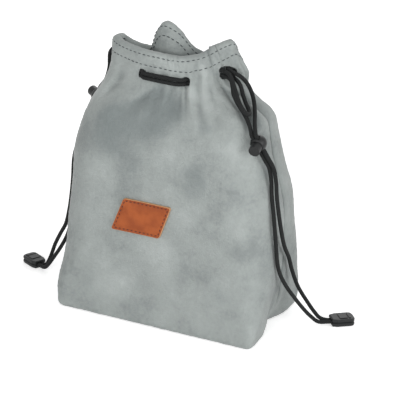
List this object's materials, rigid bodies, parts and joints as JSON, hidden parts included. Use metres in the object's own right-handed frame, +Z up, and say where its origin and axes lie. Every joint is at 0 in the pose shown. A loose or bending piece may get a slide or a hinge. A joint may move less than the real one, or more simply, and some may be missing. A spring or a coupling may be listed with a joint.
{
  "type": "drawstring lens pouch",
  "caption": "Padded plush drawstring pouch for a camera lens, with a gathered mouth, crossed cords in a channel, spring cord locks, clasp-like cord ends and a label patch.",
  "frame": {"origin": "centre of the bag's footprint, on the surface that it stands on", "axes": "+Z up towards the mouth, -Y towards the front with the label patch, +X to the right as seen from the front"},
  "size_m": [0.2687, 0.0946, 0.2198],
  "materials": {
    "plush": "short soft pile, matt",
    "padding": "open-cell foam, matt",
    "lining": "brushed fleece, matt",
    "patch": "smooth tan leather with dark stitching",
    "cord": "fine woven cord",
    "lock": "satin moulded plastic",
    "spring": "drawn spring wire",
    "cord_end": "matt moulded plastic"
  },
  "bodies": {
    "bag": {"outer_front_panel": "plush", "outer_back_panel": "plush", "padding_front": "padding", "padding_back": "padding", "lining_front": "lining", "lining_back": "lining", "label_patch": "patch", "drawstring_right_channel": "cord", "drawstring_left_channel_front": "cord", "drawstring_left_channel_back": "cord", "drawstring_left_slack": "cord", "right_tail_front": "cord", "right_tail_rear": "cord", "left_tail_front": "cord", "left_tail_rear": "cord", "cord_end_right_base": "cord_end", "cord_end_right_cover": "cord_end", "cord_end_left_base": "cord_end", "cord_end_left_cover": "cord_end"},
    "cord_lock_right": {"cord_lock_right_body": "lock", "cord_lock_right_spring": "spring"},
    "cord_lock_right_plunger": {"cord_lock_right_button": "lock"},
    "cord_lock_left": {"cord_lock_left_body": "lock", "cord_lock_left_spring": "spring"},
    "cord_lock_left_plunger": {"cord_lock_left_button": "lock"}
  },
  "joints": [
    {"name": "cord_lock_right_slide", "type": "slide", "parent": "bag", "child": "cord_lock_right", "axis": [0.377, 0.315, -0.871], "range_m": [0, 0.014]},
    {"name": "cord_lock_right_press", "type": "slide", "parent": "cord_lock_right", "child": "cord_lock_right_plunger", "axis": [-0.056, 0.9464, 0.3181], "range_m": [0, 0.001], "stiffness_N_per_m": 300, "springref_m": -0.003, "deforming": ["cord_lock_right_spring"]},
    {"name": "cord_lock_left_slide", "type": "slide", "parent": "bag", "child": "cord_lock_left", "axis": [-0.3101, -0.2001, -0.9294], "range_m": [0, 0.012]},
    {"name": "cord_lock_left_press", "type": "slide", "parent": "cord_lock_left", "child": "cord_lock_left_plunger", "axis": [0.8288, -0.5359, -0.161], "range_m": [0, 0.001], "stiffness_N_per_m": 300, "springref_m": -0.003, "deforming": ["cord_lock_left_spring"]}
  ]
}
